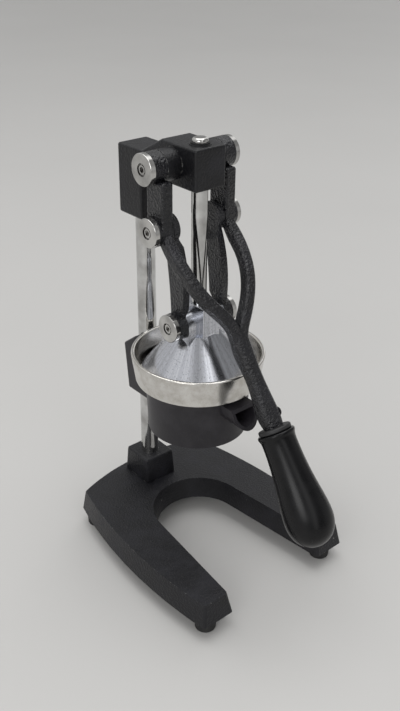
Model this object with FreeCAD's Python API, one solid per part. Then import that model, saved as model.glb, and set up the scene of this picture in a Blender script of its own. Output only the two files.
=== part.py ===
import FreeCAD, Part
import math
import os
from FreeCAD import Rotation, Vector

# Lever citrus press. Lengths are in millimetres, angles in degrees.
# The source is drawn with x = y = 0 on the press shaft and z = 0 on the table. The front, where the
# handle is, points to -y. At the end every piece moves by one offset, so that the origin of the
# part is the middle of its bounding box on the table.

# General clearances
running_clearance = 0.05
seat_clearance = 0.05
side_clearance = 0.3

# Base casting
ground_gap = 16.0
base_thickness = 22.0
base_draft = 4.0
base_rear_y = 102.3
base_corner_x = 75.0
base_corner_y = 88.0
base_side_x = 91.0
base_side_y = -35.0
leg_tip_x = 85.0
leg_tip_y = -113.0
leg_inner_x = 59.0
bay_radius = 47.0
bay_centre_y = -5.5
base_edge_round = 1.5
leg_corner_round = 3.0

# Rubber feet and their screws
foot_radius = 10.5
foot_tip_radius = 9.5
foot_inset_y = 11.0
foot_outset = 3.0
foot_recess_radius = 5.5
foot_recess_depth = 6.0
foot_screw_radius = 2.5
foot_screw_head_radius = 4.5
foot_screw_head_height = 3.0
foot_screw_grip = 12.0

# Column, with its socket on the base
column_radius = 8.9
column_y = 76.5
column_end_cover = 8.0
socket_half_width = 16.7
socket_half_depth = 17.6
socket_height = 27.3
socket_draft = 1.6
casting_corner_round = 2.2
column_bolt_radius = 5.0
column_bolt_head_radius = 8.5
column_bolt_head_height = 6.4
column_bolt_length = 40.0
washer_thickness = 1.6
washer_radius = 10.0
column_bolt_recess = 12.0

# Head casting
head_half_width = 16.2
head_front_y = -14.0
head_top_z = 405.0
head_arm_height = 35.4
head_arm_rear_y = 31.0
block_half_depth = 17.0
block_below_head_top = 15.7
block_height = 63.3
pivot_boss_radius = 13.5
pivot_boss_end_x = 30.5

# Pivots, seen from the side: lever on head, lever on links, links on bell
lever_pivot_y = 16.5
lever_pivot_below_head_top = 16.9
link_pivot_y = 11.4
link_pivot_below_lever_pivot = 52.2
bell_pivot_below_link_pivot = 87.8

# Pivot bolts
bolt_head_radius = 13.5
small_bolt_head_radius = 12.6
bolt_head_thickness = 4.6
bolt_head_round = 0.8
bolt_ring_radius = 5.4
bolt_ring_width = 1.5
bolt_ring_depth = 1.6
bolt_hub_sink = 0.5
bolt_socket_radius = 2.7
bolt_socket_depth = 3.4
shoulder_radius = 6.0
thread_radius = 4.5
thread_length = 14.0
small_shoulder_radius = 5.0
small_thread_length = 7.0
thrust_washer_thickness = 0.6

# Lever casting
lever_boss_width = 11.6
lever_boss_radius = 13.5
lever_eye_radius = 13.0
short_arm_front_y = -1.3
short_arm_rear_y = 21.0
short_arm_below_pivot = 9.1
short_arm_thickness = 11.2
short_arm_round = 2.2
fork_half_width = 5.2
fork_half_depth = 5.8
stem_half_width = 8.2
stem_half_depth = 6.8
stem_bend_y = -62.5
stem_bend_below_link_pivot = 101.9
section_round = 3.0
stem_round = 5.0
stem_screw_setback = 11.0
stem_screw_head_radius = 4.4
stem_screw_head_height = 3.0
stem_screw_radius = 2.2

# Grip
grip_angle = 34.5
grip_start_y = -103.0
grip_below_link_pivot = 156.4
grip_length = 105.0
grip_lip_radius = 16.8
grip_waist_radius = 15.2
grip_waist_at = 11.0
grip_belly_radius = 22.0
grip_belly_at = 77.0
grip_lip_round = 1.2
collar_radius = 14.6
collar_thickness = 4.0
handle_rod_radius = 5.5
handle_rod_in_grip = 62.0
handle_rod_in_stem = 24.0

# Links
link_thickness = 6.4
link_gap = 0.3
link_eye_radius = 12.8
link_lower_eye_radius = 12.6
link_lower_eye_rise = 2.6
link_bar_width = 13.4
link_bar_thickness = 6.8
link_bar_inset = 2.8
link_front_bow = 8.0
link_rear_bow = 2.6
link_spot_face = 1.4
link_face_run = 6.0
link_eye_skin = 1.2
bush_wall = 1.6
bush_flange_radius = 9.6
bush_flange = 0.5

# Press bell and its shaft
bell_inside_ring = 3.1
bell_rim_below_pivot = 52.1
bell_rim_height = 2.4
bell_cone_top_radius = 19.0
bell_cone_height = 39.2
bell_wall = 5.4
bell_crown = 8.4
bell_neck_half_width = 9.5
bell_neck_half_depth = 18.4
bell_neck_above_pivot = 16.9
bell_neck_round = 1.2
bell_boss_radius = 12.5
bell_boss_end_x = 21.3
shaft_radius = 7.0
shaft_sink = 4.6
shaft_bush_wall = 1.6
shaft_bush_flange_radius = 9.4
shaft_bush_flange = 0.5
stop_washer_radius = 8.0
stop_washer_thickness = 1.0
shaft_cap_radius = 6.9
shaft_cap_height = 3.8
shaft_cap_round = 3.0
shaft_cap_screw_depth = 12.0
shaft_cap_screw_radius = 3.0
shaft_pin_radius = 2.0
shaft_pin_below_top = 5.0

# Juice pot with its bracket and spout
bell_above_pot = 6.0
pot_height = 51.5
pot_bottom_radius = 46.6
pot_rim_radius = 48.5
pot_wall = 3.6
pot_floor_depth = 16.0
pot_floor_thickness = 4.0
pot_floor_fall = 5.0
spout_half_width = 13.3
spout_wall = 3.0
spout_below_rim = 5.5
spout_height = 19.3
spout_roof_y = -61.5
spout_lip_y = -73.0
bracket_half_width = 16.5
bracket_above_pot_foot = 2.5
bracket_rise = 13.0
bracket_half_depth = 17.5
bracket_chamfer = 17.0
bracket_draft = 5.5
bracket_screw_depth = 12.0

# Juice ring, strainer and reamer
ring_height = 26.0
ring_top_radius = 61.6
ring_rim_width = 3.5
ring_bottom_radius = 57.7
ring_flange = 1.8
ring_spigot = 5.0
ring_throat_radius = 41.0
strainer_thickness = 1.5
strainer_hole_radius = 1.7
strainer_row_radius = 37.2
strainer_row_step = 5.4
strainer_row_count = 3
strainer_hole_pitch = 8.3
reamer_radius = 33.0
reamer_height = 30.0
reamer_skirt = 2.5
reamer_rib_count = 10
reamer_rib_thickness = 2.6
reamer_rib_height = 2.2
reamer_spigot_radius = 8.0
reamer_tip_radius = 4.0

# Set screws that clamp the castings on the column
set_screw_radius = 4.0
set_screw_length = 12.0
set_screw_socket_radius = 2.2
set_screw_socket_depth = 4.0
set_screw_sink = 0.8

# Heights and places that follow from the sizes above
base_top_z = ground_gap + base_thickness
socket_top_z = base_top_z + socket_height
block_rear_y = column_y + block_half_depth
head_bottom_z = head_top_z - head_arm_height
block_top_z = head_top_z - block_below_head_top
block_bottom_z = block_top_z - block_height
lever_pivot_z = head_top_z - lever_pivot_below_head_top
link_pivot_z = lever_pivot_z - link_pivot_below_lever_pivot
bell_pivot_z = link_pivot_z - bell_pivot_below_link_pivot
bell_rim_z = bell_pivot_z - bell_rim_below_pivot
ring_flare = (ring_top_radius - ring_bottom_radius) / ring_height
bell_rim_radius = ring_bottom_radius + ring_flare * bell_above_pot - ring_rim_width - bell_inside_ring
stem_bend_z = link_pivot_z - stem_bend_below_link_pivot
grip_start_z = link_pivot_z - grip_below_link_pivot
short_arm_top_z = lever_pivot_z - short_arm_below_pivot
lever_inner_x = pivot_boss_end_x + thrust_washer_thickness
lever_outer_x = lever_inner_x + lever_boss_width
link_inner_x = bell_boss_end_x + link_gap
link_outer_x = link_inner_x + link_thickness
link_mid_x = (link_inner_x + link_outer_x) / 2
link_lower_outer_x = link_outer_x + link_lower_eye_rise
bush_end_x = link_outer_x + bush_flange
short_arm_inner_x = bush_end_x + side_clearance
short_arm_mid_x = short_arm_inner_x + short_arm_thickness / 2
bell_cone_foot_z = bell_rim_z + bell_rim_height
bell_cone_top_z = bell_cone_foot_z + bell_cone_height
bell_neck_top_z = bell_pivot_z + bell_neck_above_pivot
shaft_foot_z = bell_cone_top_z - shaft_sink
shaft_top_z = head_top_z + shaft_bush_flange + side_clearance
shaft_cap_z = shaft_top_z + stop_washer_thickness
pot_rim_z = bell_rim_z - bell_above_pot
pot_bottom_z = pot_rim_z - pot_height
pot_floor_z = pot_rim_z - pot_floor_depth
spout_top_z = pot_rim_z - spout_below_rim
spout_bottom_z = spout_top_z - spout_height
bracket_bottom_z = pot_bottom_z + bracket_above_pot_foot
bracket_top_z = pot_rim_z + bracket_rise
bracket_screw_z = pot_rim_z - bracket_screw_depth
ring_top_z = pot_rim_z + ring_height
strainer_z = pot_rim_z + ring_flange + seat_clearance
reamer_z = strainer_z + strainer_thickness

# The lever's centre line from the link pivot down to the collar, as (half spread, y, z): the two
# arms of the fork run side by side, draw in and meet in one stem.
fork_line = (
    (short_arm_mid_x, link_pivot_y, link_pivot_z),
    (34.5, -3.9, link_pivot_z - 12.7),
    (33.4, -17.9, link_pivot_z - 26.5),
    (29.0, -30.5, link_pivot_z - 41.5),
    (19.5, -41.6, link_pivot_z - 57.3),
    (12.4, -46.9, link_pivot_z - 66.1),
    (5.8, -50.6, link_pivot_z - 76.3),
    (2.4, -54.8, link_pivot_z - 89.4),
)


def box(x0, x1, y0, y1, z0, z1):
    return Part.makeBox(x1 - x0, y1 - y0, z1 - z0, Vector(x0, y0, z0))


def rod_x(radius, x0, x1, y, z):
    return Part.makeCylinder(radius, abs(x1 - x0), Vector(x0, y, z), Vector(math.copysign(1, x1 - x0), 0, 0))


def rod_y(radius, y0, y1, x, z):
    return Part.makeCylinder(radius, abs(y1 - y0), Vector(x, y0, z), Vector(0, math.copysign(1, y1 - y0), 0))


def rod_z(radius, z0, z1, x=0.0, y=0.0):
    return Part.makeCylinder(radius, z1 - z0, Vector(x, y, z0))


def closed_face(points):
    return Part.Face(Part.makePolygon(points + [points[0]]))


def side_plate(outline, x0, x1):
    """A plate with a (y, z) outline, from x0 to x1."""
    face = closed_face([Vector(x0, y, z) for y, z in outline])
    return face.extrude(Vector(x1 - x0, 0, 0))


def turned(outline, x=0.0, y=0.0):
    """A solid of revolution about an upright axis, from an (r, z) outline."""
    face = closed_face([Vector(x + r, y, z) for r, z in outline])
    return face.revolve(Vector(x, y, 0), Vector(0, 0, 1), 360)


def joined(shapes):
    return shapes[0].multiFuse(shapes[1:]).removeSplitter()


def mirrored(shape):
    return shape.mirror(Vector(0, 0, 0), Vector(1, 0, 0))


def both_sides(shape):
    return Part.makeCompound([shape, mirrored(shape)])


def hexagon(radius, centre, direction, depth):
    prism = Part.Face(Part.makePolygon([
        Vector(radius * math.cos(math.radians(60 * k)), radius * math.sin(math.radians(60 * k)), 0)
        for k in range(7)
    ])).extrude(Vector(0, 0, depth))
    prism.Placement = FreeCAD.Placement(centre, Rotation(Vector(0, 0, 1), direction))
    return prism


def edges_where(shape, test):
    return [edge for edge in shape.Edges if test(edge)]


def runs_along(edge, direction):
    """True for a straight edge within about 25 degrees of the direction."""
    run = edge.valueAt(edge.LastParameter) - edge.valueAt(edge.FirstParameter)
    return run.Length > 0.999 * edge.Length and abs(run.dot(direction)) > 0.9 * run.Length


def straight(x0, y0, x1, y1, z):
    return Part.LineSegment(Vector(x0, y0, z), Vector(x1, y1, z)).toShape()


def three_point_arc(start, middle, end, z):
    return Part.Arc(Vector(*start, z), Vector(*middle, z), Vector(*end, z)).toShape()


def base_outline(grow, z):
    """The horseshoe in plan. The draft makes it larger by grow at the bottom."""
    corner = (base_corner_x + 0.7 * grow, base_corner_y + 0.7 * grow)
    side = (base_side_x + grow, base_side_y)
    tip = (leg_tip_x + grow, leg_tip_y - grow)
    inner = (leg_inner_x - grow, leg_tip_y - grow)
    radius = bay_radius - grow
    reach = math.hypot(inner[0], inner[1] - bay_centre_y)
    tangent = math.atan2(inner[1] - bay_centre_y, inner[0]) + math.acos(radius / reach)
    bay = (radius * math.cos(tangent), bay_centre_y + radius * math.sin(tangent))
    return Part.Wire([
        three_point_arc((-corner[0], corner[1]), (0, base_rear_y + grow), corner, z),
        three_point_arc(corner, side, tip, z),
        straight(*tip, *inner, z),
        straight(*inner, *bay, z),
        three_point_arc(bay, (0, bay_centre_y + radius), (-bay[0], bay[1]), z),
        straight(-bay[0], bay[1], -inner[0], inner[1], z),
        straight(-inner[0], inner[1], -tip[0], tip[1], z),
        three_point_arc((-tip[0], tip[1]), (-side[0], side[1]), (-corner[0], corner[1]), z),
    ])


def foot_places():
    front_x = (leg_tip_x + leg_inner_x) / 2 + foot_outset
    front_y = leg_tip_y + foot_inset_y
    rear_x = base_corner_x - foot_radius + foot_outset
    rear_y = base_corner_y - foot_radius + foot_outset
    return [(sx * x, y) for x, y in ((front_x, front_y), (rear_x, rear_y)) for sx in (-1, 1)]


def make_base_casting():
    plate = Part.makeLoft([base_outline(base_draft, ground_gap), base_outline(0, base_top_z)], True, True)
    corners = edges_where(plate, lambda e: runs_along(e, Vector(0, 0, 1)) and e.CenterOfMass.y < leg_tip_y / 2)
    plate = plate.makeFillet(leg_corner_round, corners)
    foot = 1.0
    low = Part.makePolygon([
        Vector(sx * (socket_half_width + socket_draft), column_y + sy * (socket_half_depth + socket_draft),
               base_top_z - foot)
        for sx, sy in ((-1, -1), (1, -1), (1, 1), (-1, 1), (-1, -1))
    ])
    high = Part.makePolygon([
        Vector(sx * socket_half_width, column_y + sy * socket_half_depth, socket_top_z)
        for sx, sy in ((-1, -1), (1, -1), (1, 1), (-1, 1), (-1, -1))
    ])
    socket = Part.makeLoft([low, high], True, True)
    socket = socket.makeFillet(casting_corner_round, socket.Edges)
    body = plate.fuse(socket)
    cuts = [
        rod_z(column_radius + seat_clearance, ground_gap + column_bolt_recess + washer_thickness,
              socket_top_z + 1, 0, column_y),
        rod_z(washer_radius + side_clearance, ground_gap - 1, ground_gap + column_bolt_recess, 0, column_y),
        rod_z(column_bolt_radius + seat_clearance, ground_gap, socket_top_z, 0, column_y),
        set_screw_hole(socket_rear_y() + 1, socket_screw_z()),
    ]
    for x, y in foot_places():
        cuts.append(rod_z(foot_screw_radius + seat_clearance, ground_gap - 1,
                          ground_gap + foot_screw_grip, x, y))
    return body.cut(cuts)


def socket_rear_y():
    return column_y + socket_half_depth


def socket_screw_z():
    return base_top_z + socket_height / 2


def make_rubber_feet():
    feet = []
    for x, y in foot_places():
        foot = turned([
            (0, 0.0), (foot_tip_radius, 0.0), (foot_radius, ground_gap), (0, ground_gap),
        ], x, y)
        rim = edges_where(foot, lambda e: abs(e.CenterOfMass.z) < 0.01 and e.Curve.TypeId == "Part::GeomCircle")
        foot = foot.makeFillet(1.5, rim)
        foot = foot.cut([
            rod_z(foot_recess_radius, -1, foot_recess_depth, x, y),
            rod_z(foot_screw_radius + seat_clearance, 0, ground_gap + 1, x, y),
        ])
        feet.append(foot)
    return Part.makeCompound(feet)


def make_foot_screws():
    screws = []
    for x, y in foot_places():
        head_z = foot_recess_depth - foot_screw_head_height
        head = rod_z(foot_screw_head_radius, head_z, foot_recess_depth, x, y)
        head = head.cut(box(x - 0.6, x + 0.6, y - foot_radius, y + foot_radius, head_z - 1, head_z + 1.2))
        shank = rod_z(foot_screw_radius, foot_recess_depth, ground_gap + foot_screw_grip - 0.5, x, y)
        screws.append(joined([head, shank]))
    return Part.makeCompound(screws)


def make_column():
    foot_z = ground_gap + column_bolt_recess + washer_thickness
    column = rod_z(column_radius, foot_z, block_top_z - column_end_cover, 0, column_y)
    column = column.makeChamfer(0.8, edges_where(column, lambda e: e.Curve.TypeId == "Part::GeomCircle"))
    return column.cut(rod_z(column_bolt_radius + seat_clearance, foot_z - 1,
                            foot_z + column_bolt_length, 0, column_y))


def make_column_washer():
    top = ground_gap + column_bolt_recess
    ring = rod_z(washer_radius, top - washer_thickness, top, 0, column_y)
    return ring.cut(rod_z(column_bolt_radius + seat_clearance, top - washer_thickness - 1, top + 1, 0, column_y))


def make_column_bolt():
    seat = ground_gap + column_bolt_recess - washer_thickness
    head = hexagon(column_bolt_head_radius, Vector(0, column_y, seat - column_bolt_head_height),
                   Vector(0, 0, 1), column_bolt_head_height)
    shank = rod_z(column_bolt_radius, seat, seat + column_bolt_length, 0, column_y)
    return joined([head, shank])


def set_screw_hole(rear_y, z):
    return rod_y(set_screw_radius + seat_clearance, rear_y + 1, column_y, 0, z)


def make_set_screws(rear_y, heights):
    """Grub screws from behind, each with its point on the column."""
    screws = []
    for z in heights:
        tip_y = column_y + column_radius + seat_clearance
        end_y = min(tip_y + set_screw_length, rear_y - set_screw_sink)
        screw = rod_y(set_screw_radius, end_y, tip_y, 0, z)
        socket = hexagon(set_screw_socket_radius, Vector(0, end_y + 0.01, z), Vector(0, -1, 0),
                         set_screw_socket_depth)
        screws.append(screw.cut(socket))
    return Part.makeCompound(screws)


def head_screw_heights():
    third = (block_top_z - block_bottom_z) / 4
    return (block_bottom_z + third, block_top_z - third)


def make_head_casting():
    block_front_y = column_y - block_half_depth
    body = side_plate([
        (head_front_y, head_bottom_z), (head_front_y, head_top_z), (head_arm_rear_y, head_top_z),
        (block_front_y, block_top_z), (block_rear_y, block_top_z), (block_rear_y, block_bottom_z),
        (block_front_y, block_bottom_z), (block_front_y, head_bottom_z),
    ], -head_half_width, head_half_width)
    inner = edges_where(body, lambda e: runs_along(e, Vector(1, 0, 0))
                        and abs(e.CenterOfMass.y - block_front_y) < 0.01
                        and e.CenterOfMass.z > block_bottom_z + 1)
    rims = [edge for edge in body.Edges if not any(edge.isSame(other) for other in inner)]
    body = body.makeFillet(casting_corner_round, rims)
    bosses = rod_x(pivot_boss_radius, -pivot_boss_end_x, pivot_boss_end_x, lever_pivot_y, lever_pivot_z)
    body = body.fuse(bosses)
    cuts = [
        rod_z(shaft_radius + shaft_bush_wall + seat_clearance, head_bottom_z - 1, head_top_z + 1),
        rod_z(column_radius + seat_clearance, block_bottom_z - 1, block_top_z - column_end_cover, 0, column_y),
    ]
    for side in (-1, 1):
        cuts.append(rod_x(thread_radius + seat_clearance, side * (pivot_boss_end_x + 1),
                          side * (pivot_boss_end_x - thread_length), lever_pivot_y, lever_pivot_z))
    for z in head_screw_heights():
        cuts.append(set_screw_hole(block_rear_y, z))
    return body.cut(cuts)


def make_shaft_bush():
    outer = joined([
        rod_z(shaft_radius + shaft_bush_wall, head_bottom_z, head_top_z),
        rod_z(shaft_bush_flange_radius, head_top_z, head_top_z + shaft_bush_flange),
    ])
    return outer.cut(rod_z(shaft_radius + running_clearance, head_bottom_z - 1,
                           head_top_z + shaft_bush_flange + 1))


def bolt_head(radius, start_x, y, z):
    """A round bolt head that faces +x, with a ring recess and a hex socket."""
    end_x = start_x + bolt_head_thickness
    head = rod_x(radius, start_x, end_x, y, z)
    rim = edges_where(head, lambda e: e.Curve.TypeId == "Part::GeomCircle" and e.CenterOfMass.x > end_x - 0.1)
    head = head.makeFillet(bolt_head_round, rim)
    ring = rod_x(bolt_ring_radius, end_x - bolt_ring_depth, end_x + 1, y, z)
    hub = rod_x(bolt_ring_radius - bolt_ring_width, end_x - bolt_ring_depth - 1, end_x - bolt_hub_sink, y, z)
    socket = hexagon(bolt_socket_radius, Vector(end_x + 0.5, y, z), Vector(-1, 0, 0), bolt_socket_depth + 0.5)
    return head.cut(ring.cut(hub)).cut(socket)


def make_top_pivot_bolts():
    head_x = lever_outer_x + side_clearance
    bolt = joined([
        bolt_head(bolt_head_radius, head_x, lever_pivot_y, lever_pivot_z),
        rod_x(shoulder_radius, pivot_boss_end_x, head_x, lever_pivot_y, lever_pivot_z),
        rod_x(thread_radius, pivot_boss_end_x - thread_length + 1, pivot_boss_end_x,
              lever_pivot_y, lever_pivot_z),
    ])
    return both_sides(bolt)


def make_thrust_washers():
    ring = rod_x(pivot_boss_radius - 1.6, pivot_boss_end_x, lever_inner_x - side_clearance,
                 lever_pivot_y, lever_pivot_z)
    ring = ring.cut(rod_x(shoulder_radius + seat_clearance, pivot_boss_end_x - 1, lever_inner_x + 1,
                          lever_pivot_y, lever_pivot_z))
    return both_sides(ring)


def make_link_pivot_bolts():
    bolt = joined([
        bolt_head(small_bolt_head_radius, lever_outer_x, link_pivot_y, link_pivot_z),
        rod_x(small_shoulder_radius, short_arm_inner_x, lever_outer_x, link_pivot_y, link_pivot_z),
    ])
    return both_sides(bolt)


def make_bell_pivot_bolts():
    head_x = link_lower_outer_x + side_clearance
    bolt = joined([
        bolt_head(small_bolt_head_radius, head_x, 0, bell_pivot_z),
        rod_x(small_shoulder_radius, bell_boss_end_x, head_x, 0, bell_pivot_z),
        rod_x(thread_radius, bell_boss_end_x - small_thread_length, bell_boss_end_x, 0, bell_pivot_z),
    ])
    return both_sides(bolt)


def rounded_section(centre, along, across, half_width, half_depth, r):
    """A rectangle with round corners, square to the line it sits on."""
    n = along.normalize()
    u = (across - n * across.dot(n)).normalize()
    v = n.cross(u)
    edges = []
    corners = ((1, 1), (-1, 1), (-1, -1), (1, -1))
    for k in range(4):
        su, sv = corners[k]
        nu, nv = corners[(k + 1) % 4]
        hub = centre + u * (su * (half_width - r)) + v * (sv * (half_depth - r))
        first = hub + (u * (su * r) if k % 2 == 0 else v * (sv * r))
        last = hub + (v * (sv * r) if k % 2 == 0 else u * (su * r))
        middle = hub + (u * su + v * sv) * (r / math.sqrt(2))
        edges.append(Part.Arc(first, middle, last).toShape())
        next_hub = centre + u * (nu * (half_width - r)) + v * (nv * (half_depth - r))
        start = next_hub + (v * (nv * r) if k % 2 == 0 else u * (nu * r))
        edges.append(Part.LineSegment(last, start).toShape())
    return Part.Wire(edges)


def grip_direction():
    angle = math.radians(grip_angle)
    return Vector(0, -math.sin(angle), -math.cos(angle))


def grip_start():
    return Vector(0, grip_start_y, grip_start_z)


def make_fork_arm():
    points = [Vector(*p) for p in fork_line]
    sections = []
    for k, point in enumerate(points):
        before = points[max(k - 1, 0)]
        after = points[min(k + 1, len(points) - 1)]
        sections.append(rounded_section(point, after - before, Vector(1, 0, 0), fork_half_width, fork_half_depth,
                                        section_round))
    return Part.makeLoft(sections, True)


def make_stem():
    start = grip_start()
    direction = grip_direction()
    upper = Vector(0, fork_line[-2][1], fork_line[-2][2])
    lower = Vector(0, fork_line[-1][1], fork_line[-1][2])
    join = (upper + lower) * 0.5
    bend = Vector(0, stem_bend_y, stem_bend_z)
    stations = (
        (join, lower - upper, stem_round + 2.0, stem_round + 0.4),
        (lower, bend - join, stem_half_width, fork_half_depth + 0.6),
        (bend, start - lower, stem_half_width, stem_half_depth),
        ((bend + start) * 0.5, start - bend, stem_half_width, stem_half_depth),
        (start - direction * collar_thickness, direction, stem_half_width, stem_half_depth),
    )
    return Part.makeLoft([
        rounded_section(centre, along, Vector(1, 0, 0), width, depth, stem_round)
        for centre, along, width, depth in stations
    ], True)


def stem_screw_centre():
    return grip_start() - grip_direction() * (collar_thickness + stem_screw_setback)


def make_lever_casting():
    arm = box(short_arm_inner_x, short_arm_inner_x + short_arm_thickness, short_arm_front_y, short_arm_rear_y,
              link_pivot_z, short_arm_top_z)
    arm = arm.makeFillet(short_arm_round, edges_where(
        arm, lambda e: runs_along(e, Vector(0, 0, 1)) or e.CenterOfMass.z > short_arm_top_z - 0.01))
    arm = arm.cut(rod_x(pivot_boss_radius + 2 * side_clearance, short_arm_inner_x - 1, lever_inner_x,
                        lever_pivot_y, lever_pivot_z))
    right = joined([
        rod_x(lever_boss_radius, lever_inner_x, lever_outer_x, lever_pivot_y, lever_pivot_z),
        rod_x(lever_eye_radius, short_arm_inner_x, lever_outer_x, link_pivot_y, link_pivot_z),
        arm,
        make_fork_arm(),
    ])
    body = joined([right, mirrored(right), make_stem()])
    start = grip_start()
    direction = grip_direction()
    screw = stem_screw_centre()
    cuts = [Part.makeCylinder(handle_rod_radius + seat_clearance, handle_rod_in_stem + 1,
                              start - direction * (collar_thickness - 1), direction * -1)]
    cuts.append(rod_x(stem_screw_radius + seat_clearance, 0, stem_half_width + 1, screw.y, screw.z))
    cuts.append(rod_x(stem_screw_head_radius + side_clearance, stem_half_width,
                      stem_half_width + stem_screw_head_height, screw.y, screw.z))
    for sx in (-1, 1):
        cuts.append(rod_x(shoulder_radius + running_clearance, sx * (lever_inner_x - 1),
                          sx * (lever_outer_x + 1), lever_pivot_y, lever_pivot_z))
        cuts.append(rod_x(small_shoulder_radius + seat_clearance, sx * (short_arm_inner_x - 1),
                          sx * (lever_outer_x + 1), link_pivot_y, link_pivot_z))
    return body.cut(cuts)


def make_stem_screw():
    centre = stem_screw_centre()
    head = rod_x(stem_screw_head_radius, stem_half_width, stem_half_width + stem_screw_head_height,
                 centre.y, centre.z)
    rim = edges_where(head, lambda e: e.Curve.TypeId == "Part::GeomCircle"
                      and e.CenterOfMass.x > stem_half_width + stem_screw_head_height - 0.1)
    head = head.makeFillet(1.4, rim)
    shank = rod_x(stem_screw_radius, handle_rod_radius + 2 * seat_clearance, stem_half_width, centre.y, centre.z)
    return joined([head, shank])


def make_handle_rod():
    direction = grip_direction()
    start = grip_start() - direction * (collar_thickness + handle_rod_in_stem)
    length = handle_rod_in_stem + collar_thickness + handle_rod_in_grip
    return Part.makeCylinder(handle_rod_radius, length, start, direction)


def make_grip_collar():
    direction = grip_direction()
    start = grip_start() - direction * collar_thickness
    disc = Part.makeCylinder(collar_radius, collar_thickness, start, direction)
    disc = disc.makeFillet(1.2, edges_where(disc, lambda e: e.Curve.TypeId == "Part::GeomCircle"))
    return disc.cut(Part.makeCylinder(handle_rod_radius + seat_clearance, collar_thickness + 2,
                                      start - direction, direction))


def make_grip():
    """A pear-shaped grip: a lip, a waist, a slow swell and a round end."""
    end_radius = grip_length - grip_belly_at
    profile = Part.BSplineCurve()
    profile.interpolate([
        Vector(grip_lip_radius, 0, grip_lip_round),
        Vector(grip_waist_radius, 0, grip_waist_at),
        Vector(grip_waist_radius + 0.28 * (grip_belly_radius - grip_waist_radius), 0, 0.55 * grip_belly_at),
        Vector(grip_belly_radius, 0, grip_belly_at),
        Vector(grip_belly_radius * 0.80, 0, grip_belly_at + 0.66 * end_radius),
        Vector(0, 0, grip_length),
    ], Tangents=[
        Vector(-0.8, 0, 1), Vector(0, 0, 1), Vector(0.18, 0, 1), Vector(0, 0, 1), Vector(-1, 0, 0.9),
        Vector(-1, 0, 0),
    ], TangentFlags=[False, True, False, True, False, True])
    outline = Part.Wire([
        Part.LineSegment(Vector(0, 0, 0), Vector(grip_lip_radius - grip_lip_round, 0, 0)).toShape(),
        Part.LineSegment(Vector(grip_lip_radius - grip_lip_round, 0, 0),
                         Vector(grip_lip_radius, 0, grip_lip_round)).toShape(),
        profile.toShape(),
        Part.LineSegment(Vector(0, 0, grip_length), Vector(0, 0, 0)).toShape(),
    ])
    body = Part.Face(outline).revolve(Vector(0, 0, 0), Vector(0, 0, 1), 360)
    body = body.cut(rod_z(handle_rod_radius + seat_clearance, -1, handle_rod_in_grip + 0.5))
    body.Placement = FreeCAD.Placement(grip_start(), Rotation(Vector(0, 0, 1), grip_direction()))
    return body


def link_arc(bow, half):
    """One long edge of the link's bar, half off its centre line and bowed to the front."""
    lower = Vector(link_mid_x, 0, bell_pivot_z)
    upper = Vector(link_mid_x, link_pivot_y, link_pivot_z)
    along = (upper - lower).normalize()
    front = Vector(0, -along.z, along.y)
    middle = (lower + upper) * 0.5 + front * (bow + half)
    return Part.Arc(lower + front * half, middle, upper + front * half).toShape()


def link_spot_face_cut(eye_radius, y, z):
    """The clear space round an eye on the inner side, where the bar's inner face slopes down to the eye."""
    foot_radius = eye_radius + link_spot_face
    return Part.makeCone(foot_radius + link_face_run, foot_radius, link_bar_inset,
                         Vector(link_inner_x - link_bar_inset, y, z), Vector(1, 0, 0))


def make_right_link():
    half = link_bar_width / 2
    front = link_arc(link_front_bow, half)
    back = link_arc(link_rear_bow, -half)
    ends = [
        Part.LineSegment(back.Vertexes[0].Point, front.Vertexes[0].Point).toShape(),
        Part.LineSegment(front.Vertexes[-1].Point, back.Vertexes[-1].Point).toShape(),
    ]
    face = Part.Face(Part.Wire(Part.__sortEdges__([front, back] + ends)))
    bar = face.extrude(Vector(link_bar_thickness, 0, 0))
    bar.translate(Vector(link_inner_x - link_bar_inset - link_mid_x, 0, 0))
    bar = bar.cut([
        link_spot_face_cut(link_eye_radius, link_pivot_y, link_pivot_z),
        link_spot_face_cut(link_lower_eye_radius, 0, bell_pivot_z),
    ])
    link = joined([
        bar,
        rod_x(link_eye_radius, link_inner_x, link_outer_x, link_pivot_y, link_pivot_z),
        rod_x(link_lower_eye_radius, link_inner_x, link_lower_outer_x, 0, bell_pivot_z),
    ])
    return link.cut([
        rod_x(small_shoulder_radius + bush_wall + seat_clearance, link_inner_x + link_eye_skin, link_outer_x + 1,
              link_pivot_y, link_pivot_z),
        rod_x(small_shoulder_radius + running_clearance, link_inner_x - 1, link_lower_outer_x + 1, 0, bell_pivot_z),
    ])


def make_right_link_bush():
    bush = joined([
        rod_x(small_shoulder_radius + bush_wall, link_inner_x + link_eye_skin, link_outer_x,
              link_pivot_y, link_pivot_z),
        rod_x(bush_flange_radius, link_outer_x, bush_end_x, link_pivot_y, link_pivot_z),
    ])
    return bush.cut(rod_x(small_shoulder_radius, link_inner_x - 1, bush_end_x + 1, link_pivot_y, link_pivot_z))


def bell_slope():
    return (bell_rim_radius - bell_cone_top_radius) / bell_cone_height


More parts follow.
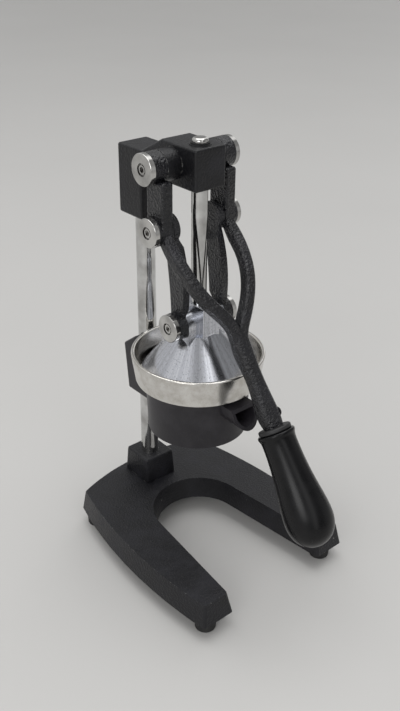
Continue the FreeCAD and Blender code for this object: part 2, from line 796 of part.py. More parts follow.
def make_bell():
    body = turned([
        (0, bell_rim_z), (bell_rim_radius, bell_rim_z), (bell_rim_radius, bell_cone_foot_z),
        (bell_cone_top_radius, bell_cone_top_z), (0, bell_cone_top_z),
    ])
    cavity_top_z = bell_cone_top_z - bell_crown
    cavity_top_radius = bell_cone_top_radius + bell_slope() * (bell_crown - bell_wall) - 2.4
    cavity = turned([
        (0, bell_rim_z - 1), (bell_rim_radius - bell_wall + bell_slope(), bell_rim_z - 1),
        (cavity_top_radius, cavity_top_z), (0, cavity_top_z),
    ])
    neck = box(-bell_neck_half_width, bell_neck_half_width, -bell_neck_half_depth, bell_neck_half_depth,
               cavity_top_z, bell_neck_top_z)
    neck = neck.makeFillet(bell_neck_round, edges_where(neck, lambda e: runs_along(e, Vector(0, 0, 1))
                                                        or e.CenterOfMass.z > bell_neck_top_z - 0.01))
    bosses = rod_x(bell_boss_radius, -bell_boss_end_x, bell_boss_end_x, 0, bell_pivot_z)
    boss_feet = box(-bell_boss_end_x, bell_boss_end_x, -bell_boss_radius, bell_boss_radius,
                    cavity_top_z, bell_pivot_z)
    body = joined([body, neck, bosses, boss_feet])
    cuts = [
        cavity,
        rod_z(shaft_radius + seat_clearance, shaft_foot_z, bell_neck_top_z + 1),
        rod_y(shaft_pin_radius + seat_clearance, -bell_neck_half_depth - 1, bell_neck_half_depth + 1,
              0, bell_neck_top_z - shaft_pin_below_top),
    ]
    for sx in (-1, 1):
        cuts.append(rod_x(thread_radius + seat_clearance, sx * (bell_boss_end_x + 1),
                          sx * (bell_boss_end_x - small_thread_length), 0, bell_pivot_z))
    return body.cut(cuts)


def make_press_shaft():
    shaft = rod_z(shaft_radius, shaft_foot_z + side_clearance, shaft_top_z)
    return shaft.cut([
        rod_y(shaft_pin_radius + seat_clearance, -shaft_radius - 1, shaft_radius + 1,
              0, bell_neck_top_z - shaft_pin_below_top),
        rod_z(shaft_cap_screw_radius + seat_clearance, shaft_top_z - shaft_cap_screw_depth, shaft_top_z + 1),
    ])


def make_shaft_pin():
    return rod_y(shaft_pin_radius, -bell_neck_half_depth, bell_neck_half_depth,
                 0, bell_neck_top_z - shaft_pin_below_top)


def make_stop_washer():
    ring = rod_z(stop_washer_radius, shaft_top_z, shaft_cap_z)
    return ring.cut(rod_z(shaft_cap_screw_radius + seat_clearance, shaft_top_z - 1, shaft_cap_z + 1))


def make_shaft_cap():
    cap = rod_z(shaft_cap_radius, shaft_cap_z, shaft_cap_z + shaft_cap_height)
    rim = edges_where(cap, lambda e: e.Curve.TypeId == "Part::GeomCircle" and e.CenterOfMass.z > shaft_cap_z + 1)
    cap = cap.makeFillet(shaft_cap_round, rim)
    return joined([cap, rod_z(shaft_cap_screw_radius, shaft_top_z - shaft_cap_screw_depth + 0.5, shaft_cap_z)])


def pot_radius(z):
    share = (z - pot_bottom_z) / (pot_rim_z - pot_bottom_z)
    return pot_bottom_radius + share * (pot_rim_radius - pot_bottom_radius)


def trough(half_width, bottom_z, top_z, y0, y1):
    """A bar with a round underside that runs along y, for the spout and its channel."""
    hub_z = bottom_z + half_width
    low_y = min(y0, y1)
    high_y = max(y0, y1)
    upper = box(-half_width, half_width, low_y, high_y, hub_z, top_z)
    lower = rod_y(half_width, y0, y1, 0, hub_z).common(
        box(-half_width - 1, half_width + 1, low_y, high_y, bottom_z - 1, hub_z))
    return upper.fuse(lower).removeSplitter()


def make_pot_casting():
    body = turned([(0, pot_bottom_z), (pot_bottom_radius, pot_bottom_z), (pot_rim_radius, pot_rim_z), (0, pot_rim_z)])
    bracket = side_plate([
        (pot_bottom_radius - pot_wall, bracket_bottom_z),
        (column_y + bracket_half_depth - bracket_draft, bracket_bottom_z),
        (column_y + bracket_half_depth, pot_rim_z),
        (column_y + bracket_half_depth - bracket_chamfer, bracket_top_z),
        (ring_top_radius + 1.0, bracket_top_z),
        (ring_top_radius + 1.0, pot_rim_z - side_clearance),
        (pot_bottom_radius - pot_wall, pot_rim_z - side_clearance),
    ], -bracket_half_width, bracket_half_width)
    bracket = bracket.makeFillet(casting_corner_round, edges_where(
        bracket, lambda e: e.CenterOfMass.y > ring_top_radius + 1.1))
    spout = trough(spout_half_width, spout_bottom_z, spout_top_z, -pot_radius(spout_top_z) + pot_wall, spout_lip_y)
    slant = (spout_roof_y - spout_lip_y) / (spout_top_z - spout_bottom_z)
    spout = spout.cut(side_plate([
        (spout_lip_y - slant, spout_bottom_z - 1), (spout_roof_y + slant, spout_top_z + 1),
        (spout_lip_y - spout_wall, spout_top_z + 1), (spout_lip_y - spout_wall, spout_bottom_z - 1),
    ], -spout_half_width - 1, spout_half_width + 1))
    body = joined([body, bracket, spout])
    floor_low = pot_floor_z - pot_floor_fall
    upper = turned([
        (0, floor_low - 1), (pot_radius(floor_low - 1) - pot_wall, floor_low - 1),
        (pot_radius(pot_rim_z + 1) - pot_wall, pot_rim_z + 1), (0, pot_rim_z + 1),
    ])
    reach = pot_rim_radius + 2
    upper = upper.cut(side_plate([
        (-reach, floor_low), (reach, pot_floor_z), (reach, floor_low - 2), (-reach, floor_low - 2),
    ], -reach, reach))
    lower = turned([
        (0, pot_bottom_z - 1), (pot_bottom_radius - pot_wall, pot_bottom_z - 1),
        (pot_bottom_radius - pot_wall, pot_floor_z), (0, pot_floor_z),
    ])
    lower = lower.cut(side_plate([
        (-reach, floor_low - pot_floor_thickness), (reach, pot_floor_z - pot_floor_thickness),
        (reach, pot_floor_z + 1), (-reach, pot_floor_z + 1),
    ], -reach, reach))
    channel = trough(spout_half_width - spout_wall, spout_bottom_z + spout_wall, spout_top_z - spout_wall,
                     -pot_bottom_radius + 2 * pot_wall, spout_lip_y - 1)
    cuts = [upper, lower, channel, rod_z(column_radius + seat_clearance, 0, head_bottom_z, 0, column_y)]
    cuts.append(set_screw_hole(bracket_rear_y(bracket_screw_z), bracket_screw_z))
    return body.cut(cuts)


def bracket_rear_y(z):
    share = (pot_rim_z - z) / (pot_rim_z - bracket_bottom_z)
    return column_y + bracket_half_depth - share * bracket_draft


def ring_inner_radius(z):
    share = (z - pot_rim_z) / (ring_top_z - pot_rim_z)
    return ring_bottom_radius + share * (ring_top_radius - ring_bottom_radius) - ring_rim_width


def make_juice_ring():
    spigot_radius = pot_radius(pot_rim_z - ring_spigot) - pot_wall - side_clearance
    flange_z = pot_rim_z + ring_flange
    ring = turned([
        (ring_throat_radius, pot_rim_z - ring_spigot), (spigot_radius, pot_rim_z - ring_spigot),
        (spigot_radius, pot_rim_z), (ring_bottom_radius, pot_rim_z), (ring_top_radius, ring_top_z),
        (ring_top_radius - ring_rim_width, ring_top_z), (ring_inner_radius(flange_z), flange_z),
        (ring_throat_radius, flange_z),
    ])
    rims = edges_where(ring, lambda e: e.Curve.TypeId == "Part::GeomCircle" and e.CenterOfMass.z > ring_top_z - 0.1)
    return ring.makeFillet(1.3, rims)


def make_strainer():
    radius = ring_inner_radius(strainer_z) - side_clearance
    plate = rod_z(radius, strainer_z, reamer_z)
    holes = [rod_z(reamer_spigot_radius + seat_clearance, strainer_z - 1, reamer_z + 1)]
    for row_index in range(strainer_row_count):
        row = strainer_row_radius + row_index * strainer_row_step
        count = int(2 * math.pi * row / strainer_hole_pitch)
        for k in range(count):
            angle = 2 * math.pi * k / count
            holes.append(rod_z(strainer_hole_radius, strainer_z - 1, reamer_z + 1,
                               row * math.cos(angle), row * math.sin(angle)))
    return plate.cut(holes)


def make_reamer():
    shoulder_z = reamer_z + reamer_skirt
    tip_z = reamer_z + reamer_height
    core = turned([
        (0, strainer_z - ring_flange), (reamer_spigot_radius, strainer_z - ring_flange),
        (reamer_spigot_radius, reamer_z), (reamer_radius - reamer_rib_height, reamer_z),
        (reamer_radius - reamer_rib_height, shoulder_z), (3.0, tip_z - reamer_rib_height), (0, tip_z - 1.0),
    ])
    rib = closed_face([
        Vector(0, -reamer_rib_thickness / 2, reamer_z), Vector(reamer_radius, -reamer_rib_thickness / 2, reamer_z),
        Vector(reamer_radius, -reamer_rib_thickness / 2, shoulder_z),
        Vector(reamer_tip_radius, -reamer_rib_thickness / 2, tip_z), Vector(0, -reamer_rib_thickness / 2, tip_z),
    ]).extrude(Vector(0, reamer_rib_thickness, 0))
    ribs = []
    for k in range(reamer_rib_count):
        turned_rib = rib.copy()
        turned_rib.rotate(Vector(0, 0, 0), Vector(0, 0, 1), 360.0 * k / reamer_rib_count)
        ribs.append(turned_rib)
    return joined([core] + ribs)


right_link = make_right_link()
right_link_bush = make_right_link_bush()

pieces = {
    "base_casting": make_base_casting(),
    "rubber_feet": make_rubber_feet(),
    "foot_screws": make_foot_screws(),
    "column": make_column(),
    "column_washer": make_column_washer(),
    "column_bolt": make_column_bolt(),
    "socket_set_screw": make_set_screws(socket_rear_y(), (socket_screw_z(),)),
    "head_casting": make_head_casting(),
    "head_set_screws": make_set_screws(block_rear_y, head_screw_heights()),
    "shaft_bush": make_shaft_bush(),
    "top_pivot_bolts": make_top_pivot_bolts(),
    "thrust_washers": make_thrust_washers(),
    "pot_casting": make_pot_casting(),
    "bracket_set_screw": make_set_screws(bracket_rear_y(bracket_screw_z), (bracket_screw_z,)),
    "juice_ring": make_juice_ring(),
    "strainer": make_strainer(),
    "reamer": make_reamer(),
    "lever_casting": make_lever_casting(),
    "link_pivot_bolts": make_link_pivot_bolts(),
    "stem_screw": make_stem_screw(),
    "handle_rod": make_handle_rod(),
    "grip_collar": make_grip_collar(),
    "grip": make_grip(),
    "press_bell": make_bell(),
    "press_shaft": make_press_shaft(),
    "shaft_pin": make_shaft_pin(),
    "stop_washer": make_stop_washer(),
    "shaft_cap": make_shaft_cap(),
    "bell_pivot_bolts": make_bell_pivot_bolts(),
    "right_link": right_link,
    "right_link_bush": right_link_bush,
    "left_link": mirrored(right_link),
    "left_link_bush": mirrored(right_link_bush),
}

rear_y = pieces["base_casting"].BoundBox.YMax
front_y = pieces["grip"].BoundBox.YMin
origin_y = (rear_y + front_y) / 2

os.makedirs("parts", exist_ok=True)
for name, piece in pieces.items():
    piece.translate(Vector(0, -origin_y, 0))
    piece.exportStep("parts/" + name + ".step")
    print(name, len(piece.Solids), round(piece.Volume, 1), piece.isValid())
print("press shaft axis at y =", round(-origin_y, 4))
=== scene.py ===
import bpy
import math
from mathutils import Matrix, Vector


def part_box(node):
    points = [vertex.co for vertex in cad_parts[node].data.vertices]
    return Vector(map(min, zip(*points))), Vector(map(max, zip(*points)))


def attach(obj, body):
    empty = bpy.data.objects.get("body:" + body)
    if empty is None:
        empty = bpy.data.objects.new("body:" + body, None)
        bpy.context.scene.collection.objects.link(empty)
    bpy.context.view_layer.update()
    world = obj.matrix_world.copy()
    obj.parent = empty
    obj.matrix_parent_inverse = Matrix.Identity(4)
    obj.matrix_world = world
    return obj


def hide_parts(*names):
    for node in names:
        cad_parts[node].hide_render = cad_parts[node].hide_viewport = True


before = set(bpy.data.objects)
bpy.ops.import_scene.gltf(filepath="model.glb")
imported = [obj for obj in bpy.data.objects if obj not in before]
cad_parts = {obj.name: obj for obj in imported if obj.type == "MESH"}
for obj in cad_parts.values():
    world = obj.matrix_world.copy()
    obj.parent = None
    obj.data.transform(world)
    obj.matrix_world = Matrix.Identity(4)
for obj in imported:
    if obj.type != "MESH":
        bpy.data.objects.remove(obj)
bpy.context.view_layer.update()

MM = 0.001


# Colour and nodes

def hex_colour(code):
    """An sRGB hex colour, turned to the linear values that the shaders use."""
    channels = [int(code[k:k + 2], 16) / 255 for k in (0, 2, 4)]
    linear = [c / 12.92 if c <= 0.04045 else ((c + 0.055) / 1.055) ** 2.4 for c in channels]
    return (*linear, 1.0)


def per_mm(size):
    """Texture scale, in repeats per metre, of a pattern whose grain is size millimetres wide."""
    return 1000.0 / size


def add(tree, kind, settings=None, **inputs):
    """Adds a node. settings are its options. inputs are values, or sockets to link from, each under the name
    of the node's own socket, or under i and the socket's number."""
    node = tree.nodes.new(kind)
    for name, value in (settings or {}).items():
        setattr(node, name, value)
    for name, value in inputs.items():
        by_number = name[0] == "i" and name[1:].isdigit()
        socket = node.inputs[int(name[1:]) if by_number else name.replace("_", " ")]
        if isinstance(value, bpy.types.NodeSocket):
            tree.links.new(value, socket)
        else:
            socket.default_value = value
    return node


def new_material(name):
    material = bpy.data.materials.new(name)
    material.use_nodes = True
    tree = material.node_tree
    tree.nodes.clear()
    return material, tree


def finish_material(tree, bump=None, **inputs):
    """Closes a material with one Principled shader and, where given, its relief."""
    shader = add(tree, "ShaderNodeBsdfPrincipled", **inputs)
    if bump is not None:
        tree.links.new(bump.outputs["Normal"], shader.inputs["Normal"])
    add(tree, "ShaderNodeOutputMaterial", Surface=shader.outputs["BSDF"])


def object_space(tree, stretch=(1, 1, 1), turn=(0, 0, 0), shift=(0, 0, 0)):
    place = add(tree, "ShaderNodeTexCoord")
    mapping = add(tree, "ShaderNodeMapping", Vector=place.outputs["Object"])
    mapping.inputs["Location"].default_value = shift
    mapping.inputs["Rotation"].default_value = turn
    mapping.inputs["Scale"].default_value = stretch
    return mapping.outputs["Vector"]


def ramp(tree, value, low, high, start=0.0, end=1.0):
    """Turns value from low..high into start..end, held at both ends."""
    node = add(tree, "ShaderNodeMapRange", i0=value)
    for index, number in ((1, low), (2, high), (3, start), (4, end)):
        node.inputs[index].default_value = number
    return node.outputs[0]


def blend_colours(tree, share, first, second):
    """Mixes two colours, each a hex code or a socket. A share of 0 gives the first and 1 the second."""
    node = add(tree, "ShaderNodeMix", {"data_type": "RGBA"}, i0=share)
    for index, colour in ((6, first), (7, second)):
        if isinstance(colour, bpy.types.NodeSocket):
            tree.links.new(colour, node.inputs[index])
        else:
            node.inputs[index].default_value = hex_colour(colour)
    return node.outputs[2]


def noise(tree, place, size, detail, roughness=0.5):
    """Cloudy noise whose grain is size millimetres wide."""
    cloud = add(tree, "ShaderNodeTexNoise",
                Vector=place, Scale=per_mm(size), Detail=detail, Roughness=roughness)
    return cloud.outputs[0]


def multiply(tree, first, second):
    return add(tree, "ShaderNodeMath", {"operation": "MULTIPLY"}, i0=first, i1=second).outputs[0]


def worn_edges(tree, reach):
    """1 on sharp outer edges, 0 on flats: where a rounded normal leaves the true one."""
    rounded = add(tree, "ShaderNodeBevel", {"samples": 4}, Radius=reach)
    surface = add(tree, "ShaderNodeNewGeometry")
    match = add(tree, "ShaderNodeVectorMath", {"operation": "DOT_PRODUCT"},
                i0=rounded.outputs["Normal"], i1=surface.outputs["Normal"])
    return ramp(tree, match.outputs["Value"], 0.97, 0.80)


def painted_recess_shade(tree, reach):
    """Painted shade mask: 1 deep in grooves and sockets, where ambient occlusion finds them sheltered, 0 on
    open faces.
    """
    shelter = add(tree, "ShaderNodeAmbientOcclusion", {"samples": 6, "only_local": True}, Distance=reach)
    return ramp(tree, shelter.outputs["AO"], 0.75, 0.35)


def black_casting_enamel(name, colour, dust, bare, grain, relief, roughness, wear, flecks, gloss=1.42):
    """Sprayed and stoved black enamel on sand-cast iron. The sand's grain shows through as a pebble that
    sparkles under the lamps, handling leaves paler smears, sharp edges are rubbed through to grey iron, and a
    few flecks are chipped. grain and relief are in mm; wear and flecks say how much is rubbed and chipped."""
    material, tree = new_material(name)
    place = object_space(tree)
    pebble = add(tree, "ShaderNodeTexVoronoi", {"feature": "SMOOTH_F1"}, Vector=place, Scale=per_mm(grain))
    grit = noise(tree, place, grain * 0.55, 3.0, 0.6)
    smears = noise(tree, place, 28, 5.0, 0.62)
    rub = noise(tree, place, 3, 4.0, 0.7)
    spots = add(tree, "ShaderNodeTexVoronoi", Vector=place, Scale=per_mm(16))
    lottery = add(tree, "ShaderNodeSeparateColor", Color=spots.outputs["Color"])
    painted = blend_colours(tree, ramp(tree, smears, 0.45, 0.72, 0.0, 0.75), colour, dust)
    rubbed = multiply(tree, worn_edges(tree, 1.1 * MM), ramp(tree, rub, 0.56 - wear, 0.66 - wear))
    chipped = multiply(tree, ramp(tree, spots.outputs["Distance"], 0.07, 0.04),
                       ramp(tree, lottery.outputs[0], 1.0 - flecks, 1.01 - flecks))
    worn = add(tree, "ShaderNodeMath", {"operation": "MAXIMUM"}, i0=rubbed, i1=chipped)
    shade = blend_colours(tree, worn.outputs[0], painted, bare)
    height = add(tree, "ShaderNodeMath", {"operation": "MULTIPLY_ADD"},
                 i0=grit, i1=0.55, i2=pebble.outputs["Distance"])
    bump = add(tree, "ShaderNodeBump", Height=height.outputs[0], Strength=1.0, Distance=relief * MM)
    finish_material(tree, bump, Base_Color=shade,
                    Roughness=ramp(tree, smears, 0.3, 0.75, roughness - 0.05, roughness + 0.12),
                    Metallic=0.0, IOR=gloss)
    return material


def polished_chrome(name, colour, along_z):
    """Bright chrome plate on turned steel. Fine turning and wiping marks spread the reflections a little, and
    painted shade darkens the grooves. On a drawn bar the marks run along z."""
    material, tree = new_material(name)
    stretch = (1, 1, 0.02) if along_z else (1, 1, 1)
    fine = noise(tree, object_space(tree, stretch), 0.8, 3.0)
    broad = noise(tree, object_space(tree), 14, 4.0)
    shade = blend_colours(tree, ramp(tree, broad, 0.35, 0.7), colour, "a9a8a6")
    # Painted shade: sheltered grooves and sockets are darkened towards near black
    shade = blend_colours(tree, painted_recess_shade(tree, 1.6 * MM), shade, "1d1c1b")
    bump = add(tree, "ShaderNodeBump", Height=fine, Strength=0.5, Distance=0.01 * MM)
    finish_material(tree, bump, Base_Color=shade, Metallic=1.0,
                    Roughness=ramp(tree, broad, 0.35, 0.7, 0.06, 0.16))
    return material


def satin_stainless(name, centre_y):
    """Pressed and satin-polished stainless sheet, polished round its axis, so the marks are fine rings and
    the reflections are drawn out up and down."""
    material, tree = new_material(name)
    place = object_space(tree, shift=(0, -centre_y, 0))
    rings = noise(tree, object_space(tree, (0.03, 0.03, 1)), 0.45, 2.0)
    smudges = noise(tree, place, 16, 5.0, 0.65)
    pits = noise(tree, place, 1.4, 2.0)
    shade = blend_colours(tree, ramp(tree, smudges, 0.4, 0.7), "dcdad6", "bdb9b2")
    speck = ramp(tree, pits, 0.68, 0.74, 0.0, 0.35)
    shade = blend_colours(tree, speck, shade, "6d675f")
    bump = add(tree, "ShaderNodeBump", Height=rings, Strength=0.6, Distance=0.012 * MM)
    finish_material(tree, bump, Base_Color=shade, Metallic=1.0,
                    Roughness=ramp(tree, smudges, 0.35, 0.75, 0.15, 0.27))
    return material


def turned_aluminium(name, centre_y):
    """Cast aluminium, turned and buffed. It mirrors the room in bands that run up the cone. Paler and darker
    bands round the axis are partly buffing marks from rim to neck and partly painted reflection bands, and
    specks show where the casting is porous."""
    material, tree = new_material(name)
    place = object_space(tree, shift=(0, -centre_y, 0))
    across = add(tree, "ShaderNodeSeparateXYZ", Vector=place)
    bearing = add(tree, "ShaderNodeMath", {"operation": "ARCTAN2"},
                  i0=across.outputs["Y"], i1=across.outputs["X"])
    buffing_marks_and_painted_bands = add(tree, "ShaderNodeTexNoise", {"noise_dimensions": "1D"},
                  W=bearing.outputs[0], Scale=7.0, Detail=4.0, Roughness=0.6)
    pores = noise(tree, place, 1.2, 3.0, 0.75)
    # Painted reflection, partly buffing marks: pale and dark bands of colour round the axis
    shade = blend_colours(tree, ramp(tree, buffing_marks_and_painted_bands.outputs[0], 0.36, 0.64), "d0d2d8", "b9bbc1")
    shade = blend_colours(tree, ramp(tree, pores, 0.58, 0.66, 0.0, 0.8), shade, "3f4044")
    bump = add(tree, "ShaderNodeBump", Height=pores, Strength=0.8, Distance=0.03 * MM)
    finish_material(tree, bump, Base_Color=shade, Metallic=1.0,
                    Roughness=ramp(tree, buffing_marks_and_painted_bands.outputs[0], 0.3, 0.7, 0.14, 0.26))
    return material


def moulded_phenolic(name):
    """Compression-moulded black phenolic, polished off the mould: deep black with soft highlights, and faint
    rubbing marks from hands."""
    material, tree = new_material(name)
    place = object_space(tree)
    rubbing = noise(tree, place, 20, 6.0, 0.6)
    scratch = noise(tree, object_space(tree, (1, 0.12, 0.12), (0.6, 0, 0)), 0.9, 4.0)
    shade = blend_colours(tree, ramp(tree, rubbing, 0.4, 0.75), "050507", "0e0e10")
    bump = add(tree, "ShaderNodeBump", Height=scratch, Strength=0.4, Distance=0.02 * MM)
    finish_material(tree, bump, Base_Color=shade, IOR=1.36,
                    Roughness=ramp(tree, rubbing, 0.3, 0.8, 0.22, 0.36))
    return material


def moulded_matt(name, colour, paler, grain, roughness):
    """Moulded rubber or nylon with a dull skin and a little dust in its grain."""
    material, tree = new_material(name)
    place = object_space(tree)
    dust = noise(tree, place, 6, 5.0)
    skin = noise(tree, place, grain, 3.0)
    shade = blend_colours(tree, ramp(tree, dust, 0.45, 0.75), colour, paler)
    bump = add(tree, "ShaderNodeBump", Height=skin, Strength=0.6, Distance=0.05 * MM)
    finish_material(tree, bump, Base_Color=shade, Roughness=roughness)
    return material


def machined_steel(name, colour, dull):
    """Steel screws, washers and rods with a thin plated or blackened skin, dulled by handling."""
    material, tree = new_material(name)
    place = object_space(tree)
    cloud = noise(tree, place, 3, 5.0)
    shade = blend_colours(tree, ramp(tree, cloud, 0.35, 0.7), colour, dull)
    bump = add(tree, "ShaderNodeBump", Height=cloud, Strength=0.4, Distance=0.03 * MM)
    finish_material(tree, bump, Base_Color=shade, Metallic=1.0,
                    Roughness=ramp(tree, cloud, 0.3, 0.7, 0.25, 0.45))
    return material


# The press shaft's axis, which the round pieces are centred on
axis_y = sum(corner[1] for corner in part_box("press_shaft")) / 2

base_enamel = black_casting_enamel("stoved black enamel on cast iron", "101014", "202026", "8d8c8a",
                                   grain=1.7, relief=0.42, roughness=0.38, wear=0.0, flecks=0.14)
head_enamel = black_casting_enamel("stoved black enamel, rubbed at the edges", "111114", "26262b", "b4b3b0",
                                   grain=1.6, relief=0.36, roughness=0.36, wear=0.05, flecks=0.03)
lever_enamel = black_casting_enamel("hammered black enamel on cast iron", "0e0e12", "26262c", "9a9a9a",
                                    grain=1.9, relief=1.0, roughness=0.1, wear=-0.04, flecks=0.02, gloss=1.5)
pot_enamel = black_casting_enamel("smooth black enamel on cast iron", "211f23", "353337", "7a7978",
                                  grain=1.2, relief=0.08, roughness=0.4, wear=-0.06, flecks=0.02)
column_chrome = polished_chrome("polished chrome plate, drawn bar", "cfcfce", along_z=True)
bolt_chrome = polished_chrome("polished chrome plate, turned heads", "d0cfcc", along_z=False)
stainless = satin_stainless("satin stainless sheet", axis_y)
aluminium = turned_aluminium("turned cast aluminium", axis_y)
phenolic = moulded_phenolic("moulded black phenolic")
rubber = moulded_matt("moulded black rubber", "1c1c1d", "333331", 0.8, 0.75)
nylon = moulded_matt("moulded black nylon", "1b1b1c", "2b2b2c", 1.2, 0.5)
steel = machined_steel("zinc-plated steel", "a6a7a9", "77777a")
black_steel = machined_steel("black-oxide steel", "2c2c2f", "1b1b1d")

finishes = {
    base_enamel: ("base_casting",),
    head_enamel: ("head_casting",),
    lever_enamel: ("lever_casting", "left_link", "right_link"),
    pot_enamel: ("pot_casting",),
    column_chrome: ("column", "press_shaft"),
    bolt_chrome: ("top_pivot_bolts", "link_pivot_bolts", "bell_pivot_bolts", "shaft_cap"),
    stainless: ("juice_ring", "strainer"),
    aluminium: ("press_bell", "reamer"),
    rubber: ("rubber_feet", "stop_washer"),
    nylon: ("shaft_bush", "grip_collar"),
    steel: ("foot_screws", "column_washer", "column_bolt", "thrust_washers", "handle_rod", "shaft_pin",
            "right_link_bush", "left_link_bush"),
    black_steel: ("socket_set_screw", "head_set_screws", "bracket_set_screw", "stem_screw"),
}
for material, nodes in finishes.items():
    for node in nodes:
        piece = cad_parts[node]
        for material_slot in piece.material_slots:
            material_slot.material = material


# The grip

# The mouth's centre, seen from the press axis, and the lean of the grip from the upright
GRIP_MOUTH = (0.0, -103.0 * MM, 179.5 * MM)
GRIP_LEAN = math.radians(34.5)
GRIP_MOUTH_RADIUS = 15.3
# Distance along the grip and radius there, in mm: the lip's bead, the waist, the swell and the round end
GRIP_STATIONS = (
    (0.5, 16.2), (1.5, 16.8), (3.0, 16.7), (4.4, 15.9),
    (6.6, 15.3), (11.0, 15.15), (20.0, 15.35), (31.0, 16.0),
    (42.4, 17.1), (54.0, 18.75), (66.0, 20.75), (77.0, 21.9),
    (84.0, 21.6), (90.0, 20.3), (95.5, 17.8), (99.6, 14.2), (102.6, 9.8), (104.3, 5.4), (104.8, 2.0),
)
# The mould's parting line: where it starts, its half width, how far it stands proud, and the bare spot at
# the round end
PARTING_START = 4.0 * MM
PARTING_HALF_WIDTH = 0.42 * MM
PARTING_HEIGHT = 0.3 * MM
PARTING_END_RADIUS = 1.5 * MM


def select_where(piece, kind, test):
    """Selects the vertices or edges of a piece in edit mode whose points all pass the test."""
    bpy.ops.mesh.select_all(action="DESELECT")
    bpy.ops.object.mode_set(mode="OBJECT")
    points = piece.data.vertices
    for part in getattr(piece.data, kind):
        corners = [part.index] if kind == "vertices" else part.vertices
        part.select = all(test(points[corner].co) for corner in corners)
    bpy.ops.object.mode_set(mode="EDIT")


def make_grip():
    """A pear-shaped grip, drawn out station by station from its lip, with the mould's parting line down both
    sides."""
    bpy.ops.object.select_all(action="DESELECT")
    bpy.ops.mesh.primitive_circle_add(vertices=48, radius=GRIP_MOUTH_RADIUS * MM, fill_type="NGON")
    grip = bpy.context.object
    grip.name = "grip_moulding"
    bpy.ops.object.mode_set(mode="EDIT")
    bpy.ops.mesh.select_mode(type="FACE")
    bpy.ops.mesh.select_all(action="SELECT")
    distance, radius = 0.0, GRIP_MOUTH_RADIUS
    for next_distance, next_radius in GRIP_STATIONS:
        step = (0, 0, (next_distance - distance) * MM)
        bpy.ops.mesh.extrude_region_move(TRANSFORM_OT_translate={"value": step})
        spread = next_radius / radius
        bpy.ops.transform.resize(value=(spread, spread, 1), center_override=(0, 0, next_distance * MM))
        distance, radius = next_distance, next_radius
    bpy.ops.mesh.select_all(action="SELECT")
    bpy.ops.mesh.normals_make_consistent(inside=False)
    bpy.ops.object.mode_set(mode="OBJECT")
    rounding = grip.modifiers.new("rounding", "SUBSURF")
    rounding.levels = 2
    rounding.render_levels = 2
    bpy.ops.object.modifier_apply(modifier=rounding.name)
    bpy.ops.object.mode_set(mode="EDIT")
    bpy.ops.mesh.select_mode(type="EDGE")
    select_where(grip, "edges", lambda p: abs(p.y) < 0.01 * MM and abs(p.x) > PARTING_END_RADIUS
                 and p.z > PARTING_START)
    bpy.ops.mesh.bevel(offset=PARTING_HALF_WIDTH, segments=2, affect="EDGES")
    bpy.ops.mesh.select_mode(type="VERT")
    select_where(grip, "vertices", lambda p: abs(p.y) < 0.02 * MM and abs(p.x) > PARTING_END_RADIUS
                 and p.z > PARTING_START + MM)
    bpy.ops.transform.shrink_fatten(value=PARTING_HEIGHT)
    bpy.ops.object.mode_set(mode="OBJECT")
    bpy.ops.object.shade_smooth_by_angle(angle=math.radians(50))
    grip.rotation_euler = (math.pi - GRIP_LEAN, 0, 0)
    grip.location = (GRIP_MOUTH[0], GRIP_MOUTH[1] + axis_y, GRIP_MOUTH[2])
    bpy.ops.object.transform_apply(location=True, rotation=True, scale=True)
    grip.data.materials.append(phenolic)
    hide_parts("grip")
    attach(grip, "lever")


make_grip()


# Floor, light and camera

def make_floor():
    """A plain pale studio floor."""
    bpy.ops.object.select_all(action="DESELECT")
    bpy.ops.mesh.primitive_plane_add(size=24.0, location=(0, 0, 0))
    floor = bpy.context.object
    floor.name = "studio_floor"
    material, tree = new_material("pale matt floor")
    cloud = noise(tree, object_space(tree), 400, 3.0)
    shade = blend_colours(tree, ramp(tree, cloud, 0.3, 0.7), "c1c0be", "bfbebc")
    finish_material(tree, None, Base_Color=shade, Roughness=0.55)
    floor.data.materials.append(material)


def make_lamp(name, place, target, size, power):
    data = bpy.data.lights.new(name, "AREA")
    data.shape = "DISK"
    data.size = size
    data.energy = power
    lamp = bpy.data.objects.new(name, data)
    bpy.context.scene.collection.objects.link(lamp)
    lamp.location = place
    lamp.rotation_euler = (Vector(target) - Vector(place)).to_track_quat("-Z", "Y").to_euler()


# Brightness of the studio from its left (0) to its right (1), as (place, level)
STUDIO_SCREENS = (
    (0.0, 0.5), (0.2, 0.6), (0.34, 0.5), (0.44, 0.26), (0.58, 0.34), (0.67, 0.95), (0.74, 1.0), (0.8, 0.2),
    (0.94, 0.22), (1.0, 0.5),
)


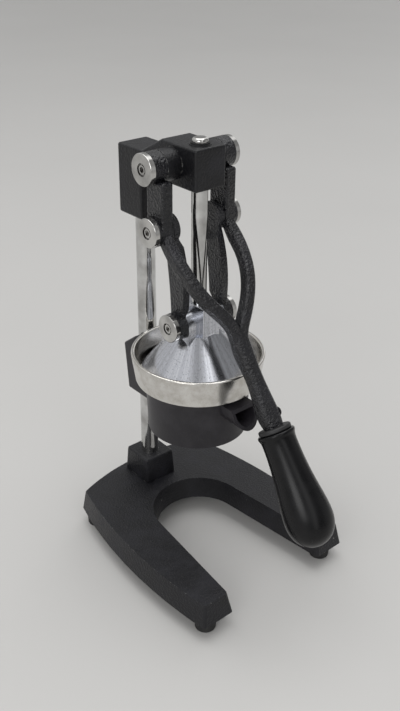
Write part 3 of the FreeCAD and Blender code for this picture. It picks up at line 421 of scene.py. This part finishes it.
def make_world():
    """A soft grey studio: one bright screen and darker ones beside it, so that bright metal has something to
    mirror. The camera itself sees a plain pale backdrop."""
    world = bpy.data.worlds.new("soft room")
    bpy.context.scene.world = world
    world.use_nodes = True
    tree = world.node_tree
    tree.nodes.clear()
    direction = add(tree, "ShaderNodeTexCoord")
    parts = add(tree, "ShaderNodeSeparateXYZ", Vector=direction.outputs["Generated"])
    sideways = add(tree, "ShaderNodeVectorMath", {"operation": "DOT_PRODUCT"},
                   i0=direction.outputs["Generated"], i1=(0.763, -0.647, 0.0))
    screens = add(tree, "ShaderNodeValToRGB", Fac=ramp(tree, sideways.outputs["Value"], -1.0, 1.0))
    marks = screens.color_ramp.elements
    for place, level in STUDIO_SCREENS[1:-1]:
        marks.new(place)
    for mark, (place, level) in zip(marks, STUDIO_SCREENS):
        mark.position = place
        mark.color = (level, level, level, 1.0)
    overhead = ramp(tree, parts.outputs["Z"], 0.0, 0.95, 0.62, 1.0)
    shade = multiply(tree, overhead, screens.outputs["Color"])
    room = add(tree, "ShaderNodeBackground", Color=shade, Strength=1.6)
    backdrop = add(tree, "ShaderNodeBackground", Color=hex_colour("c4c3c1"), Strength=1.0)
    rays = add(tree, "ShaderNodeLightPath")
    seen = add(tree, "ShaderNodeMixShader", i0=rays.outputs["Is Camera Ray"],
               i1=room.outputs[0], i2=backdrop.outputs[0])
    add(tree, "ShaderNodeOutputWorld", Surface=seen.outputs[0])


# The lens, as the focal length in pixels of a picture of this width, and its sensor in mm
PICTURE_WIDTH = 400
FOCAL_LENGTH = 861.625
SENSOR_WIDTH = 36.0
# The camera's place, seen from the press axis on the floor, and its right, up and forward directions
CAMERA_PLACE = (-0.44827, -0.52514, 0.59287)
CAMERA_RIGHT = (0.76261, -0.64678, 0.01046)
CAMERA_UP = (0.30702, 0.37614, 0.87422)
CAMERA_FORWARD = (0.56936, 0.66347, -0.48542)


def make_camera():
    """The photograph's viewpoint: in front and to the left, looking down about 29 degrees."""
    data = bpy.data.cameras.new("photo_view")
    data.sensor_fit = "HORIZONTAL"
    data.sensor_width = SENSOR_WIDTH
    data.lens = FOCAL_LENGTH / PICTURE_WIDTH * SENSOR_WIDTH
    camera = bpy.data.objects.new("photo_view", data)
    bpy.context.scene.collection.objects.link(camera)
    turn = Matrix((CAMERA_RIGHT, CAMERA_UP, -Vector(CAMERA_FORWARD))).transposed().to_4x4()
    place = Vector(CAMERA_PLACE) + Vector((0, axis_y, 0))
    camera.matrix_world = Matrix.Translation(place) @ turn
    bpy.context.scene.camera = camera


make_floor()
make_lamp("overhead_softbox", (0.1, 0.3, 2.6), (0, 0, 0.2), 2.6, 30.0)
make_lamp("left_fill", (-1.3, -0.7, 0.9), (0, 0, 0.2), 0.9, 6.0)
make_world()
make_camera()
bpy.context.scene.view_settings.view_transform = "Standard"
